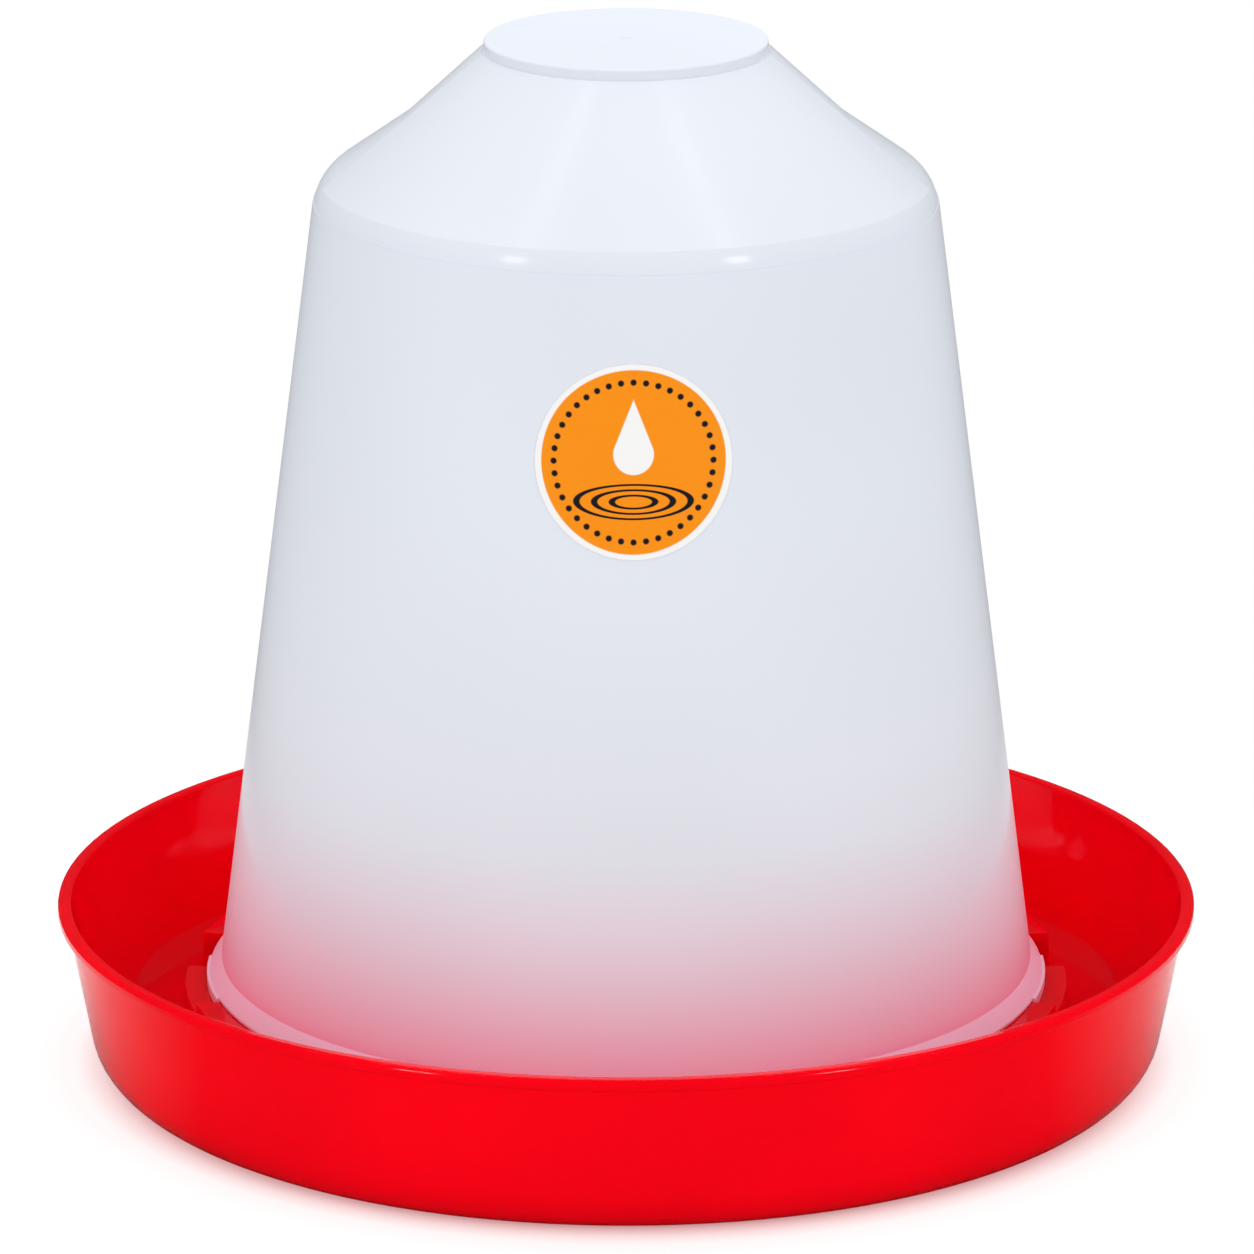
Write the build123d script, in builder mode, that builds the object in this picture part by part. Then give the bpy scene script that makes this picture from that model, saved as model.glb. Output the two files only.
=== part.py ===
from build123d import *
import os
from math import atan2, cos, degrees, radians, sin, tan

# A siphon drinker for poultry: a red drinking pan, and a translucent water dome that stands
# on the seat in the middle of the pan. Millimetres and degrees. The origin is the middle of
# the standing plane, +Z is up and the label looks along -Y.

# Drinking pan
rim_diameter = 350.0
pan_height = 52.0
pan_wall = 2.2
pan_draft = 10.7
pan_corner_radius = 12.6
trough_corner_radius = 14.0
bead_overhang = 2.6
bead_height = 3.7
bead_outer_round = 1.7
bead_round = 1.1
foot_ring_width = 9.0
foot_ring_height = 1.0
edge_round = 0.5

# Seat of the dome, on the pan's floor
seat_height = 26.8
seat_outer_margin = 7.3
seat_inner_margin = 8.4
seat_draft = 4.0
seat_edge_round = 0.9
seat_root_round = 3.0
tab_seat_drop = 2.6

# Turns round the seat, counted from the front to either side
tab_seat_turn = 74.8
channel_near_turn = 93.3
channel_far_turn = 103.7
end_wall_turn = 1.0

# Water dome
dome_height = 320.0
dome_wall = 2.2
dome_draft = 7.36
top_disc_radius = 42.7
top_disc_edge = 0.8
disc_rim_height = 3.4
disc_ledge = 0.9
shoulder_line_drop = 43.0
shoulder_line_inset = 2.3
parting_drop = 49.5
parting_step = 0.3
gate_radius = 1.6
gate_height = 0.5
gate_taper = 30.0

# Foot of the dome
foot_radius = 128.6
skirt_height = 6.1
skirt_flare = 3.7
foot_edge_height = 1.1
tab_reach = 0.9
tab_clearance = 0.3
tab_end_clearance = 0.3

# Grips: two shallow hollows in the sides of the cone
grip_near_turn = 81.0
grip_turn = 46.0
grip_crease_turn = 2.2
grip_kink_radius = 67.6
grip_kink_drop = 25.7
grip_lower_slope = 35.1
grip_shoulder_run = 7.3

# Round label
label_diameter = 57.5
label_thickness = 0.25
label_height = 216.4
label_turn = 1.3

# Worked out from the sizes above
half_turn = 180.0
upright = 90.0
front = -90.0
pan_floor_top = foot_ring_height + pan_wall
pan_lean = tan(radians(pan_draft))
bead_foot_height = pan_height - bead_height
pan_wall_radius = rim_diameter / 2 - bead_overhang
pan_base_radius = pan_wall_radius - bead_foot_height * pan_lean
pan_wall_across = pan_wall / cos(radians(pan_draft))
tab_seat_height = seat_height - tab_seat_drop
wall_slope = upright - dome_draft
dome_lean = tan(radians(dome_draft))
foot_inner_radius = foot_radius - dome_wall
seat_outer_radius = foot_radius + seat_outer_margin
seat_inner_radius = foot_inner_radius - seat_inner_margin
skirt_top = seat_height + skirt_height
skirt_radius = foot_radius - skirt_flare
flare_height = skirt_height - foot_edge_height
flare_slope = degrees(atan2(flare_height, skirt_flare))
parting_height = dome_height - parting_drop
parting_radius = skirt_radius - (parting_height - skirt_top) * dome_lean
cone_top = (top_disc_radius + disc_ledge, dome_height - disc_rim_height)
shoulder_line = (parting_radius - shoulder_line_inset, dome_height - shoulder_line_drop)
wall_top = (parting_radius, parting_height)
round_foot = (parting_radius - parting_step, parting_height)
skirt_line = (skirt_radius, skirt_top)
grip_kink = (grip_kink_radius, dome_height - grip_kink_drop)


def slope_between(a, b):
    """The angle at which the face from a to b falls."""
    return degrees(atan2(a[1] - b[1], b[0] - a[0]))


def along(point, slope, run):
    """The point moved by run down a face that falls at slope."""
    return point[0] + run * cos(radians(slope)), point[1] - run * sin(radians(slope))


def sunk(point, slope, depth):
    """The point moved by depth into the wall, square to a face that falls at slope."""
    return point[0] - depth * sin(radians(slope)), point[1] - depth * cos(radians(slope))


def meet(a, slope_a, b, slope_b):
    """Where the face through a, falling at slope_a, meets the face through b, falling at slope_b."""
    fall_a, fall_b = tan(radians(slope_a)), tan(radians(slope_b))
    r = (a[1] - b[1] + a[0] * fall_a - b[0] * fall_b) / (fall_a - fall_b)
    return r, a[1] - (r - a[0]) * fall_a


def at_height(point, slope, height):
    """Where the face that falls at slope through the point has this height."""
    return point[0] + (point[1] - height) / tan(radians(slope)), height


def at_radius(point, slope, radius):
    """Where the face that falls at slope through the point has this radius."""
    return radius, point[1] - (radius - point[0]) * tan(radians(slope))


def half_plane(turn):
    """The upright half plane at this turn about the axis, with the radius as its x."""
    c, s = cos(radians(turn)), sin(radians(turn))
    return Plane(origin=(0, 0, 0), x_dir=(c, s, 0), z_dir=(s, -c, 0))


def both_sides(start, end):
    """Where a stretch from start to end, on either side of the front, begins about +Z."""
    return front + start, front - end


def corner(sketch, point):
    """The sketch's corner at this point."""
    return sketch.vertices().sort_by_distance((point[0], point[1], 0))[0]


cone_slope = slope_between(cone_top, shoulder_line)
grip_upper_slope = slope_between(cone_top, grip_kink)
grip_corner = meet(grip_kink, grip_lower_slope, wall_top, wall_slope)
grip_end = along(grip_corner, grip_lower_slope, -grip_shoulder_run)
wall_rise = (-sin(radians(dome_draft)), cos(radians(dome_draft)))
grip_fall = (cos(radians(grip_lower_slope)), -sin(radians(grip_lower_slope)))
inner_wall_top = sunk(wall_top, wall_slope, dome_wall)


def grip_section(turn, depth, wall_point, top_height):
    """What a grip takes away, at this depth in the wall: all that lies outside its two slopes."""
    lower = sunk(grip_end, grip_lower_slope, depth)
    upper = sunk(cone_top, grip_upper_slope, depth)
    kink = meet(upper, grip_upper_slope, lower, grip_lower_slope)
    top = at_height(upper, grip_upper_slope, top_height)
    with BuildSketch(half_plane(turn)) as section:
        with BuildLine():
            Polyline(lower, kink, top, (rim_diameter / 2, top_height),
                     (rim_diameter / 2, wall_point[1]), wall_point)
            TangentArc(lower, wall_point, tangent=grip_fall)
        make_face()
    return section.sketch


# The space inside the water dome, narrower behind the grips so that the wall stays even
inside_grip_near_turn = grip_near_turn - grip_crease_turn
inside_grip_turn = grip_turn + 2 * grip_crease_turn

with BuildPart() as dome_inside:
    ceiling = dome_height - dome_wall
    inner_shoulder = sunk(shoulder_line, cone_slope, dome_wall)
    inner_flare = sunk(skirt_line, flare_slope, dome_wall)
    inner_crease = meet(inner_wall_top, wall_slope, inner_flare, flare_slope)
    mouth_height = seat_height - dome_wall
    with BuildSketch(Plane.XZ):
        with BuildLine():
            Polyline(inner_shoulder, at_height(inner_shoulder, cone_slope, ceiling), (0, ceiling),
                     (0, mouth_height), (foot_inner_radius, mouth_height),
                     at_radius(inner_flare, flare_slope, foot_inner_radius), inner_crease, inner_wall_top)
            TangentArc(inner_wall_top, inner_shoulder, tangent=wall_rise)
        make_face()
    revolve(axis=Axis.Z)
    for start in both_sides(inside_grip_near_turn, inside_grip_near_turn + inside_grip_turn):
        revolve(grip_section(start, dome_wall, inner_wall_top, dome_height), axis=Axis.Z,
                revolution_arc=inside_grip_turn, mode=Mode.SUBTRACT)

# Water dome: one thin moulding, with a grip on either side of the cone
tab_gap_turn = degrees(tab_end_clearance / foot_radius)
tab_near_turn = tab_seat_turn + tab_gap_turn
tab_far_turn = channel_near_turn - tab_gap_turn
tab_radius = foot_radius + tab_reach
tab_foot = tab_seat_height + tab_clearance
tab_top = seat_height + foot_edge_height

with BuildPart() as water_dome:
    with BuildSketch(Plane.XZ) as outside:
        with BuildLine():
            Polyline(shoulder_line, cone_top, (top_disc_radius, cone_top[1]), (top_disc_radius, dome_height),
                     (0, dome_height), (0, seat_height), (foot_radius, seat_height), (foot_radius, tab_top),
                     skirt_line, wall_top, round_foot)
            TangentArc(round_foot, shoulder_line, tangent=wall_rise)
        make_face()
        fillet(corner(outside, (top_disc_radius, dome_height)), top_disc_edge)
        fillet(corner(outside, (foot_radius, seat_height)), edge_round)
    revolve(axis=Axis.Z)
    for start in both_sides(grip_near_turn, grip_near_turn + grip_turn):
        revolve(grip_section(start, 0, round_foot, cone_top[1]), axis=Axis.Z,
                revolution_arc=grip_turn, mode=Mode.SUBTRACT)
    add(dome_inside.part, mode=Mode.SUBTRACT)
    # The mark of the moulding gate, in the middle of the top disc
    with BuildSketch(Plane.XY.offset(dome_height)):
        Circle(gate_radius)
    extrude(amount=gate_height, taper=gate_taper)
    # Two tabs under the foot drop beside the ends of the high seat and stop the dome from turning
    for start in both_sides(tab_near_turn, tab_far_turn):
        with BuildSketch(half_plane(start)) as tab_section:
            with BuildLine():
                Polyline((foot_inner_radius, tab_foot), (tab_radius, tab_foot), (tab_radius, tab_top),
                         (foot_inner_radius, tab_top), close=True)
            make_face()
            fillet([corner(tab_section, (tab_radius, z)) for z in (tab_foot, tab_top)], edge_round)
        revolve(axis=Axis.Z, revolution_arc=tab_far_turn - tab_near_turn)

water_dome.part.label = "water_dome"


def is_free(edge):
    """Whether a land's upper edge is clear of the land beside it."""
    middle = edge @ 0.5
    turn = abs(degrees(atan2(middle.X, -middle.Y)))
    beside_high_land = middle.Z <= tab_seat_height and turn <= tab_seat_turn + end_wall_turn
    return edge.geom_type == GeomType.CIRCLE or not beside_high_land


def pocket_section(turn, land_height):
    """The hollow under a land, which keeps the moulding's wall even."""
    top = land_height - pan_wall
    lean = top * tan(radians(seat_draft))
    outer, inner = seat_outer_radius - pan_wall, seat_inner_radius + pan_wall
    with BuildSketch(half_plane(turn)) as section:
        with BuildLine():
            Polyline((inner - lean, 0), (inner, top), (outer, top), (outer + lean, 0), close=True)
        make_face()
        fillet([corner(section, (inner, top)), corner(section, (outer, top))], seat_edge_round)
    return section.sketch


def above_section(turn, height):
    """All of the seat that lies above this height."""
    inner, outer = seat_inner_root - seat_cut_margin, seat_outer_root + seat_cut_margin
    with BuildSketch(half_plane(turn)) as section:
        with BuildLine():
            Polyline((inner, height), (outer, height), (outer, pan_height), (inner, pan_height), close=True)
        make_face()
    return section.sketch


# Drinking pan: one moulding, with the trough round the seat. The seat's lands are high where
# the dome's foot rests and lower under its tabs, and the channels let the water out.
low_land_turn = channel_near_turn - tab_seat_turn
channel_turn = channel_far_turn - channel_near_turn
back_land_turn = 2 * (half_turn - channel_far_turn)
seat_lean = (seat_height - pan_floor_top) * tan(radians(seat_draft))
seat_outer_root = seat_outer_radius + seat_lean
seat_inner_root = seat_inner_radius - seat_lean
seat_cut_margin = 2 * seat_root_round
inner_base = (pan_base_radius - pan_wall_across + pan_floor_top * pan_lean, pan_floor_top)
inner_top = (inner_base[0] + (pan_height - pan_floor_top) * pan_lean, pan_height)
# A narrow trough has room for a smaller corner only
trough_floor_width = inner_base[0] - seat_outer_root
trough_corner_limit = (trough_floor_width - seat_cut_margin) / tan(radians((upright - pan_draft) / 2))

with BuildPart() as drinking_pan:
    foot_ring_radius = pan_base_radius - pan_corner_radius - foot_ring_width
    bead_corners = ((rim_diameter / 2, bead_foot_height), (rim_diameter / 2, pan_height), inner_top)
    seat_roots = ((seat_outer_root, pan_floor_top), (seat_inner_root, pan_floor_top))
    with BuildSketch(Plane.XZ) as pan_section:
        with BuildLine():
            Polyline((0, foot_ring_height), (foot_ring_radius - foot_ring_height, foot_ring_height),
                     (foot_ring_radius, 0), (pan_base_radius, 0), (pan_wall_radius, bead_foot_height),
                     *bead_corners, inner_base, seat_roots[0], (seat_outer_radius, seat_height),
                     (seat_inner_radius, seat_height), seat_roots[1], (0, pan_floor_top), close=True)
        make_face()
        fillet(corner(pan_section, (pan_base_radius, 0)), pan_corner_radius)
        fillet(corner(pan_section, inner_base), min(trough_corner_radius, trough_corner_limit))
        fillet([corner(pan_section, p) for p in seat_roots], seat_root_round)
        fillet(corner(pan_section, bead_corners[1]), bead_outer_round)
        fillet([corner(pan_section, p) for p in (bead_corners[0], inner_top)], bead_round)
        fillet(corner(pan_section, (pan_wall_radius, bead_foot_height)), edge_round)
    revolve(axis=Axis.Z)
    # The seat is a ring: it is lowered under the tabs, and cut down to the floor at the channels
    for near_turn, stretch, height in ((tab_seat_turn, low_land_turn, tab_seat_height),
                                       (channel_near_turn, channel_turn, pan_floor_top)):
        for start in both_sides(near_turn, near_turn + stretch):
            revolve(above_section(start, height), axis=Axis.Z, revolution_arc=stretch, mode=Mode.SUBTRACT)
    # The lands' upper edges are rounded, apart from the corner where a low land meets a high one
    for height in (seat_height, tab_seat_height):
        for land in drinking_pan.faces().filter_by(Plane.XY).filter_by_position(Axis.Z, height, height):
            fillet([e for e in land.edges() if is_free(e)], seat_edge_round)
    # Hollows under the lands, stopped short of the lands' end walls
    for start, stretch, height in (
            (front - tab_seat_turn, 2 * tab_seat_turn, seat_height),
            (front - channel_near_turn, 2 * channel_near_turn, tab_seat_height),
            (front + channel_far_turn, back_land_turn, seat_height)):
        revolve(pocket_section(start + end_wall_turn, height), axis=Axis.Z,
                revolution_arc=stretch - 2 * end_wall_turn, mode=Mode.SUBTRACT)

drinking_pan.part.label = "drinking_pan"

# Round label: a thin disc bent to the front of the dome's wall
label_radius = label_diameter / 2
label_axis_radius = parting_radius + (parting_height - label_height) * dome_lean
label_band_turn = 2 * degrees(atan2(label_diameter, label_axis_radius))

with BuildPart() as round_label:
    label_top = along(wall_top, wall_slope, parting_height - label_height - label_diameter)
    label_foot = along(label_top, wall_slope, 2 * label_diameter)
    with BuildSketch(half_plane(front + label_turn - label_band_turn / 2)):
        with BuildLine():
            Polyline(label_top, label_foot, sunk(label_foot, wall_slope, -label_thickness),
                     sunk(label_top, wall_slope, -label_thickness), close=True)
        make_face()
    revolve(axis=Axis.Z, revolution_arc=label_band_turn)
    outward = half_plane(front + label_turn).x_dir
    label_centre = outward * label_axis_radius + Vector(0, 0, label_height)
    outward_normal = outward * cos(radians(dome_draft)) + Vector(0, 0, sin(radians(dome_draft)))
    with BuildSketch(Plane(origin=label_centre, z_dir=outward_normal)):
        Circle(label_radius)
    extrude(amount=label_radius, both=True, mode=Mode.INTERSECT)

round_label.part.label = "round_label"

os.makedirs("parts", exist_ok=True)
export_step(drinking_pan.part, "parts/drinking_pan.step")
export_step(water_dome.part, "parts/water_dome.step")
export_step(round_label.part, "parts/round_label.step")
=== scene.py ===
import math

import bpy
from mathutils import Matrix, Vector


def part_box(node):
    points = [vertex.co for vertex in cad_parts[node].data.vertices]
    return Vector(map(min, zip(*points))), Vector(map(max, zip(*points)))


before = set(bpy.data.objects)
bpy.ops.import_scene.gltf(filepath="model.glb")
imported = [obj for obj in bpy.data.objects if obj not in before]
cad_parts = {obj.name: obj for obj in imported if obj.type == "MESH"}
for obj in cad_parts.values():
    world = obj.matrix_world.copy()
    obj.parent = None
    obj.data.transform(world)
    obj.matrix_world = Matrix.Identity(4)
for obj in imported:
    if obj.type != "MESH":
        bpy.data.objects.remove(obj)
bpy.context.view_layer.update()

# Camera, fitted to the photograph's outline: metres and degrees, and the sensor in millimetres
AIM = Vector((0.0003, 0.0, 0.1362))
CAMERA_DISTANCE = 2.510
CAMERA_PITCH = 16.65
FRAME_AT_AIM = 0.38305
SENSOR = 36.0

# Colours as they read under plain light
RED = (0.91, 0.0003, 0.008)
MILK = (0.79, 0.83, 0.90)
# The next colour is painted light, not a colour of the plastic: the pink that the red pan's light gives
# the dome near its foot
RED_GLOW_PAINT = (1.0, 0.43, 0.64)
ORANGE = (0.98, 0.29, 0.0)
INK = (0.012, 0.012, 0.014)
PAPER = (0.93, 0.93, 0.92)
WHITE = (1.0, 1.0, 1.0)
BLACK = (0.0, 0.0, 0.0)

# Heights on the dome in metres, for a painted pink glow that stands for the red pan's light through the
# milky wall: the skirt, up to SKIRT_TOP, keeps a share of its milk colour and has the painted glow over
# the rest. From there up, the wall has the painted glow, most at once and less and less up to the glow's
# top height
SKIRT_TOP, SKIRT_EDGE, SKIRT_MILK_SHARE = 0.0331, 0.0326, 0.3
RED_GLOW_TOP, RED_GLOW_POWER = 0.098, 0.5
# The skin's gloss, and where it fades out, because the top disc is dull
SKIN_GLOSS, DISC_EDGE, DISC_TOP = 0.5, 0.3192, 0.3198

PLASTIC_IOR = 1.49
NOISE_LOW, NOISE_HIGH = 0.3, 0.7

# The sticker's print, in shares of its radius
PRINT_EDGE, PRINT_SOFT = 0.93, 0.012
RIPPLE_UP, RIPPLE_FLAT, RIPPLE_RINGS, RIPPLE_LINE = -0.40, 0.30, (0.22, 0.40, 0.58), 0.028
DROP_UP, DROP_RADIUS, DROP_TIP = 0.08, 0.20, 0.62
DOT_COUNT, DOT_RING, DOT_RADIUS = 40, 0.81, 0.026

# Floor, in metres: what it throws on the object, what the camera sees near the pan and further
# out, and what the plastic mirrors, which is bright only behind the pan and close to it. Near the pan
# the camera sees a painted shadow, darker and tinged with the pan's red light. Beyond the object's
# soft shadow, from BARE_NEAR to BARE_FAR, the camera's view of it turns to plain white
FLOOR_SIZE = 12.0
FLOOR_TONE = (0.85, 0.85, 0.85)
# Painted shadow round the pan's foot: the camera sees the floor dimmer and tinged red there, fading out
# between these two radii
SHADOW_PAINT_NEAR, SHADOW_PAINT_FAR = 0.150, 0.170
SHADOW_PAINT_TONE, OPEN_TONE = (0.5, 0.5, 0.5), (0.45, 0.45, 0.45)
SHADOW_PAINT_LIFT, OPEN_LIFT = (0.46, 0.09, 0.10), (0.70, 0.70, 0.70)
BARE_NEAR, BARE_FAR = 0.26, 0.32
MIRRORED_DIM, MIRRORED_BRIGHT = (0.06, 0.06, 0.06), (0.98, 0.98, 0.98)
MIRRORED_FRONT, MIRRORED_BACK = -0.10, 0.08
MIRRORED_NEAR, MIRRORED_FAR = 0.30, 0.45

# Strength of the sky as light, as the gloss mirrors it and as the camera sees it
SKY_LIGHT, SKY_MIRRORED, SKY_SEEN = 0.88, 0.06, 1.0
LAMP_AIM = Vector((0.0, 0.0, 0.15))


def new_material(name):
    """A node material, its node tree and its Principled shader."""
    material = bpy.data.materials.new(name)
    material.use_nodes = True
    return material, material.node_tree, material.node_tree.nodes["Principled BSDF"]


def put(tree, value, socket):
    """Links this output to the socket, or writes the plain number or colour into it."""
    if isinstance(value, (int, float)):
        socket.default_value = value
    elif isinstance(value, tuple):
        socket.default_value = (*value, 1.0)
    else:
        tree.links.new(value, socket)


def fill(shader, values):
    """Writes these values into the shader's own sockets."""
    for name, value in values.items():
        shader.inputs[name].default_value = value


def object_point(tree):
    """The place on the object, in metres."""
    return tree.nodes.new("ShaderNodeTexCoord").outputs["Object"]


def split(tree, vector):
    """The x, y and z of a vector."""
    node = tree.nodes.new("ShaderNodeSeparateXYZ")
    tree.links.new(vector, node.inputs["Vector"])
    return node.outputs["X"], node.outputs["Y"], node.outputs["Z"]


def math_node(tree, operation, first, second=None):
    """A Math node's output; its inputs are outputs of other nodes or plain numbers."""
    node = tree.nodes.new("ShaderNodeMath")
    node.operation = operation
    put(tree, first, node.inputs[0])
    if second is not None:
        put(tree, second, node.inputs[1])
    return node.outputs["Value"]


def length(tree, first, second):
    """The distance that is first along one way and second along the other."""
    squares = [math_node(tree, "MULTIPLY", side, side) for side in (first, second)]
    return math_node(tree, "SQRT", math_node(tree, "ADD", *squares))


def between(tree, value, low, high, to_low=0.0, to_high=1.0):
    """The value's range low to high, spread over to_low to to_high, and clamped."""
    node = tree.nodes.new("ShaderNodeMapRange")
    tree.links.new(value, node.inputs["Value"])
    fill(node, {"From Min": low, "From Max": high, "To Min": to_low, "To Max": to_high})
    return node.outputs["Result"]


def mixed(tree, factor, first, second):
    """Two colours mixed by a factor."""
    node = tree.nodes.new("ShaderNodeMix")
    node.data_type = "RGBA"
    tree.links.new(factor, node.inputs["Factor"])
    for name, colour in (("A", first), ("B", second)):
        put(tree, colour, next(s for s in node.inputs if s.name == name and s.type == "RGBA"))
    return next(s for s in node.outputs if s.type == "RGBA")


def noise(tree, point, cells):
    """Plain soft noise with about so many cells to a metre."""
    node = tree.nodes.new("ShaderNodeTexNoise")
    fill(node, {"Scale": cells, "Detail": 0.0})
    tree.links.new(point, node.inputs["Vector"])
    return node.outputs["Fac"]


def cloudy(tree, point, colour, cells, darkest):
    """The colour in clouds, which go down to this share of it."""
    cloud = between(tree, noise(tree, point, cells), NOISE_LOW, NOISE_HIGH)
    return mixed(tree, cloud, colour, tuple(part * darkest for part in colour))


def uneven(tree, point, shader, name, cells, smoothest, roughest):
    """Gives this roughness of the shader a value that wanders between these two."""
    rough = between(tree, noise(tree, point, cells), NOISE_LOW, NOISE_HIGH, smoothest, roughest)
    tree.links.new(rough, shader.inputs[name])


def wavy(tree, point, shader, cells, depth):
    """Gives the shader a faint bump, with its full depth in metres."""
    node = tree.nodes.new("ShaderNodeBump")
    fill(node, {"Strength": 1.0, "Distance": depth})
    tree.links.new(noise(tree, point, cells), node.inputs["Height"])
    tree.links.new(node.outputs["Normal"], shader.inputs["Normal"])


def red_plastic():
    """Glossy moulded red that light sinks into, a little cloudy, with faint waves from the mould."""
    material, tree, shader = new_material("red_plastic")
    point = object_point(tree)
    put(tree, cloudy(tree, point, RED, cells=22.0, darkest=0.93), shader.inputs["Base Color"])
    fill(shader, {"IOR": PLASTIC_IOR, "Specular IOR Level": 0.35})
    uneven(tree, point, shader, "Roughness", cells=60.0, smoothest=0.05, roughest=0.09)
    shader.subsurface_method = "BURLEY"
    spread = (1.0, 0.05, 0.08)
    fill(shader, {"Subsurface Weight": 1.0, "Subsurface Scale": 0.005, "Subsurface Radius": spread})
    wavy(tree, point, shader, cells=90.0, depth=0.00008)
    return material


def milky_plastic():
    """Milk white natural plastic under a smooth skin, with a painted pink glow near its foot for the red
    pan's light round it.
    """
    material, tree, shader = new_material("milky_plastic")
    point = object_point(tree)
    _, _, height = split(tree, point)
    # A painted pink glow for the red pan's light: full just above the skirt, fading up the wall, and over
    # the skirt as far as its milk share leaves
    wall_glow_fade = math_node(tree, "POWER", between(tree, height, SKIRT_TOP, RED_GLOW_TOP), RED_GLOW_POWER)
    skirt_glow_fade = between(tree, height, SKIRT_TOP, SKIRT_EDGE, 0.0, SKIRT_MILK_SHARE)
    milk = cloudy(tree, point, MILK, cells=14.0, darkest=0.97)
    tone = mixed(tree, math_node(tree, "MAXIMUM", wall_glow_fade, skirt_glow_fade), RED_GLOW_PAINT, milk)
    put(tree, tone, shader.inputs["Base Color"])
    fill(shader, {"Specular IOR Level": 0.0, "Coat IOR": PLASTIC_IOR})
    put(tree, between(tree, height, DISC_EDGE, DISC_TOP, SKIN_GLOSS, 0.0), shader.inputs["Coat Weight"])
    uneven(tree, point, shader, "Coat Roughness", cells=45.0, smoothest=0.10, roughest=0.15)
    return material


def print_space(tree, point, node):
    """How far across and up a point lies from this node's middle, in shares of its radius."""
    low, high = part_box(node)
    radius = (high[0] - low[0]) / 2
    x, _, z = split(tree, point)
    return [
        math_node(tree, "DIVIDE", math_node(tree, "SUBTRACT", place, (low[axis] + high[axis]) / 2), radius)
        for axis, place in ((0, x), (2, z))
    ]


def painted(tree, distance, edge, inside, outside):
    """One colour up to this distance and another beyond it, with a fine soft edge."""
    return mixed(tree, between(tree, distance, edge, edge + PRINT_SOFT), inside, outside)


def ripples(tree, across, up):
    """Distances from three flat rings."""
    upright = math_node(tree, "DIVIDE", math_node(tree, "SUBTRACT", up, RIPPLE_UP), RIPPLE_FLAT)
    away = length(tree, across, upright)
    return [math_node(tree, "ABSOLUTE", math_node(tree, "SUBTRACT", away, ring)) for ring in RIPPLE_RINGS]


def drop(tree, across, up):
    """Distance outside a drop: a disc, and two straight sides from where they touch it to the tip."""
    tall = DROP_TIP - DROP_UP
    lean = DROP_RADIUS / math.sqrt(tall ** 2 - DROP_RADIUS ** 2)
    touch = DROP_UP + DROP_RADIUS ** 2 / tall
    away = length(tree, across, math_node(tree, "SUBTRACT", up, DROP_UP))
    disc = math_node(tree, "SUBTRACT", away, DROP_RADIUS)
    half_width = math_node(tree, "MULTIPLY", math_node(tree, "SUBTRACT", DROP_TIP, up), lean)
    sides = math_node(tree, "SUBTRACT", math_node(tree, "ABSOLUTE", across), half_width)
    above = math_node(tree, "SUBTRACT", touch, up)
    return math_node(tree, "MINIMUM", disc, math_node(tree, "MAXIMUM", sides, above))


def dots(tree, across, up):
    """Distance from the middle of the nearest dot on a ring of dots."""
    step = 2 * math.pi / DOT_COUNT
    turn = math_node(tree, "DIVIDE", math_node(tree, "ARCTAN2", up, across), step)
    off_turn = math_node(tree, "SUBTRACT", turn, math_node(tree, "ROUND", turn))
    along_ring = math_node(tree, "MULTIPLY", off_turn, step * DOT_RING)
    off_ring = math_node(tree, "SUBTRACT", length(tree, across, up), DOT_RING)
    return length(tree, along_ring, off_ring)


def printed_film(node):
    """The sticker's print: an orange disc with a white edge, dark ripples, a drop and a ring of dots."""
    material, tree, shader = new_material("printed_film")
    point = object_point(tree)
    across, up = print_space(tree, point, node)
    colour = painted(tree, length(tree, across, up), PRINT_EDGE, ORANGE, PAPER)
    for ring in ripples(tree, across, up):
        colour = painted(tree, ring, RIPPLE_LINE, INK, colour)
    colour = painted(tree, drop(tree, across, up), 0.0, PAPER, colour)
    colour = painted(tree, dots(tree, across, up), DOT_RADIUS, INK, colour)
    put(tree, colour, shader.inputs["Base Color"])
    fill(shader, {"Specular IOR Level": 0.2})
    uneven(tree, point, shader, "Roughness", cells=400.0, smoothest=0.38, roughest=0.5)
    wavy(tree, point, shader, cells=900.0, depth=0.00002)
    return material


def give(node, material):
    """Gives a CAD node this material on every slot."""
    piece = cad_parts[node]
    if not piece.material_slots:
        piece.data.materials.append(material)
    for place in piece.material_slots:
        place.material = material


def chosen(tree, ray, others, own):
    """A shader with its own look for this kind of ray, and another for all others."""
    node = tree.nodes.new("ShaderNodeMixShader")
    for value, socket in ((ray, "Fac"), (others, 1), (own, 2)):
        tree.links.new(value, node.inputs[socket])
    return node.outputs["Shader"]


def matte(tree, colour):
    """A plain matte shader."""
    node = tree.nodes.new("ShaderNodeBsdfDiffuse")
    put(tree, colour, node.inputs["Color"])
    return node.outputs["BSDF"]


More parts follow.
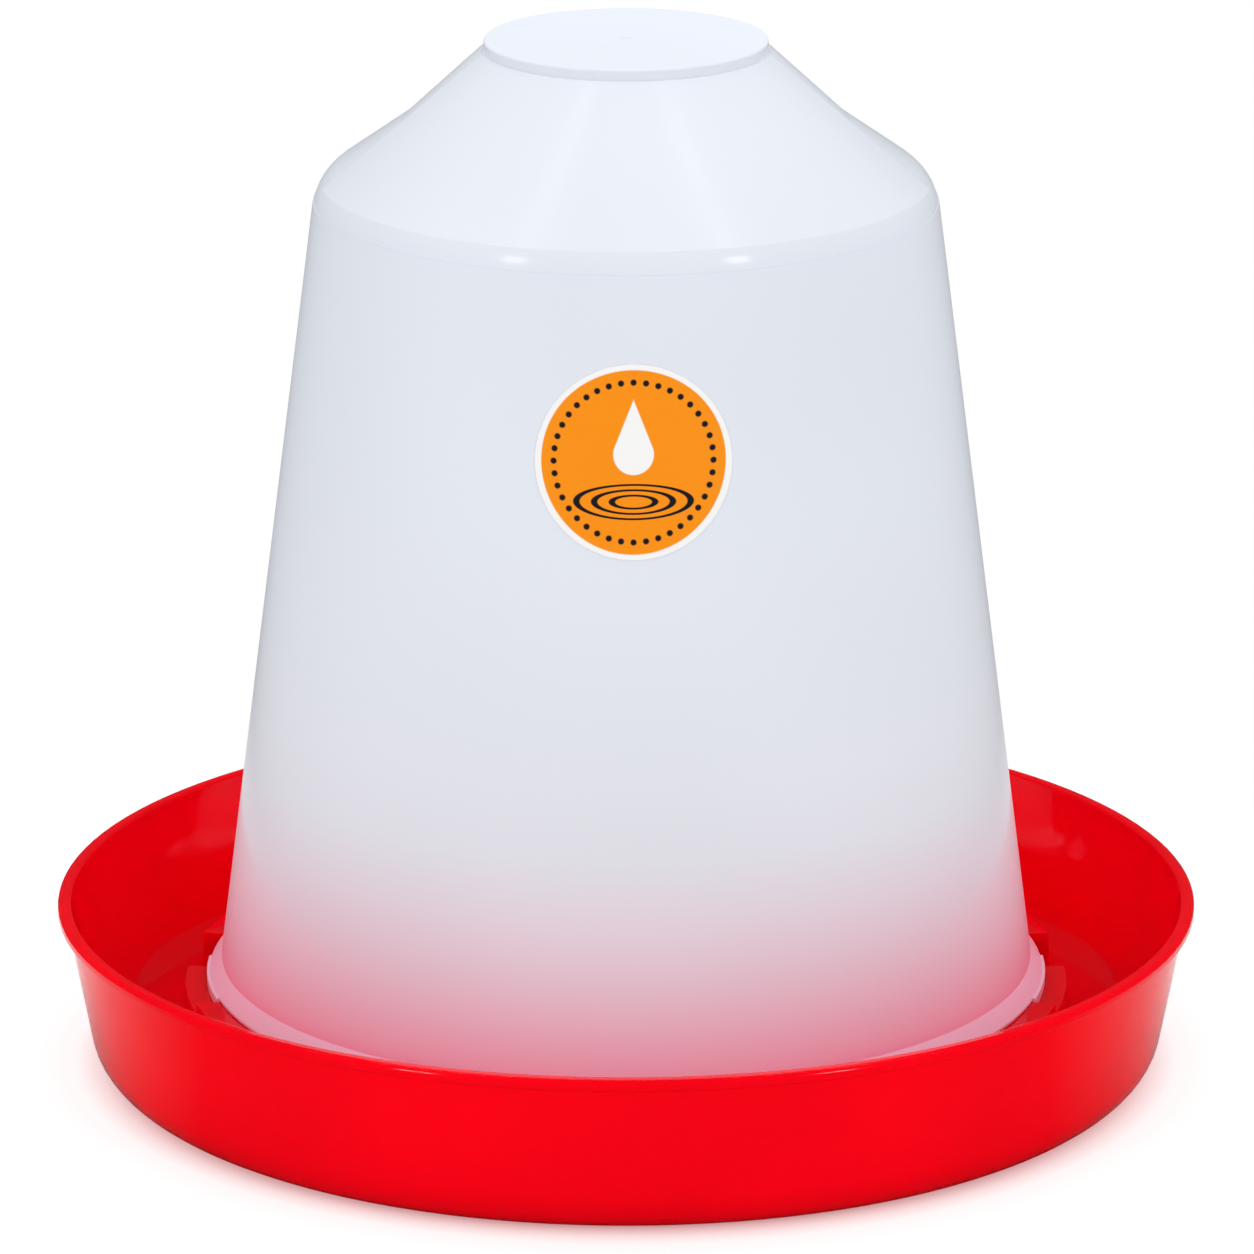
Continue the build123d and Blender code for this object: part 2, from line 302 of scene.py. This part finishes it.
def white_floor():
    """A floor that looks white, keeps the object's soft shadow, has a painted red-tinged shadow round the
    pan's foot and mirrors dimly in the plastic.
    """
    bpy.ops.mesh.primitive_plane_add(size=FLOOR_SIZE, location=(0, 0, 0))
    floor = bpy.context.object
    floor.name = "floor"
    material, tree, unused = new_material("floor_white")
    tree.nodes.remove(unused)
    across, back, _ = split(tree, object_point(tree))
    away = length(tree, across, back)
    # The camera sees a painted, red-tinged shadow near the pan's foot, fading out to the open floor
    past_painted_shadow = between(tree, away, SHADOW_PAINT_NEAR, SHADOW_PAINT_FAR)
    bare = between(tree, away, BARE_NEAR, BARE_FAR)
    tone = mixed(tree, bare, mixed(tree, past_painted_shadow, SHADOW_PAINT_TONE, OPEN_TONE), BLACK)
    lift = mixed(tree, bare, mixed(tree, past_painted_shadow, SHADOW_PAINT_LIFT, OPEN_LIFT), WHITE)
    glow = tree.nodes.new("ShaderNodeEmission")
    put(tree, lift, glow.inputs["Color"])
    seen = tree.nodes.new("ShaderNodeAddShader")
    tree.links.new(matte(tree, tone), seen.inputs[0])
    tree.links.new(glow.outputs["Emission"], seen.inputs[1])
    bright = math_node(tree, "MULTIPLY", between(tree, back, MIRRORED_FRONT, MIRRORED_BACK),
                       between(tree, away, MIRRORED_FAR, MIRRORED_NEAR))
    mirrored = matte(tree, mixed(tree, bright, MIRRORED_DIM, MIRRORED_BRIGHT))
    path = tree.nodes.new("ShaderNodeLightPath")
    direct = chosen(tree, path.outputs["Is Camera Ray"], matte(tree, FLOOR_TONE), seen.outputs["Shader"])
    surface = chosen(tree, path.outputs["Is Glossy Ray"], direct, mirrored)
    tree.links.new(surface, tree.nodes["Material Output"].inputs["Surface"])
    # The glow is for the camera alone, so it isn't sampled as a lamp
    material.cycles.emission_sampling = "NONE"
    floor.data.materials.append(material)


def sky(tree, strength):
    """White light from all round."""
    node = tree.nodes.new("ShaderNodeBackground")
    put(tree, WHITE, node.inputs["Color"])
    put(tree, strength, node.inputs["Strength"])
    return node.outputs["Background"]


def white_world():
    """Even studio light, a dim studio for the gloss to mirror and a plain white background."""
    world = bpy.data.worlds.new("studio")
    bpy.context.scene.world = world
    world.use_nodes = True
    tree = world.node_tree
    tree.nodes.remove(tree.nodes["Background"])
    path = tree.nodes.new("ShaderNodeLightPath")
    unseen = chosen(tree, path.outputs["Is Glossy Ray"], sky(tree, SKY_LIGHT), sky(tree, SKY_MIRRORED))
    surface = chosen(tree, path.outputs["Is Camera Ray"], unseen, sky(tree, SKY_SEEN))
    tree.links.new(surface, tree.nodes["World Output"].inputs["Surface"])


def softbox(name, place, size, watts, mirrored=True):
    """A rectangular lamp, turned to the object; mirrored says whether the gloss shows it."""
    lamp = bpy.data.lights.new(name, "AREA")
    lamp.shape = "RECTANGLE"
    lamp.size, lamp.size_y = size
    lamp.energy = watts
    thing = bpy.data.objects.new(name, lamp)
    thing.location = place
    thing.rotation_euler = (LAMP_AIM - thing.location).to_track_quat("-Z", "Y").to_euler()
    thing.visible_glossy = mirrored
    bpy.context.collection.objects.link(thing)


def camera():
    """The photograph's view: a long lens, looking a little down."""
    lens = bpy.data.cameras.new("camera")
    lens.sensor_width = lens.sensor_height = SENSOR
    lens.sensor_fit = "HORIZONTAL"
    lens.lens = SENSOR * CAMERA_DISTANCE / FRAME_AT_AIM
    thing = bpy.data.objects.new("camera", lens)
    pitch = math.radians(CAMERA_PITCH)
    thing.location = AIM + CAMERA_DISTANCE * Vector((0.0, -math.cos(pitch), math.sin(pitch)))
    thing.rotation_euler = (math.pi / 2 - pitch, 0.0, 0.0)
    bpy.context.collection.objects.link(thing)
    bpy.context.scene.camera = thing


give("drinking_pan", red_plastic())
give("water_dome", milky_plastic())
give("round_label", printed_film("round_label"))

white_floor()
white_world()
for side, name in ((-1, "left"), (1, "right")):
    softbox(name + "_box", place=(side * 1.49, -1.71, 0.95), size=(0.32, 0.42), watts=4.0)
    softbox(name + "_strip", place=(side * 0.76, 0.0, 1.75), size=(0.06, 1.0), watts=0.5)
softbox("overhead_strip", place=(0.0, 0.6, 1.8), size=(1.3, 0.05), watts=1.4)
softbox("top_box", place=(0.0, 0.0, 1.76), size=(1.5, 1.4), watts=3.0, mirrored=False)
camera()
bpy.context.scene.view_settings.view_transform = "Standard"
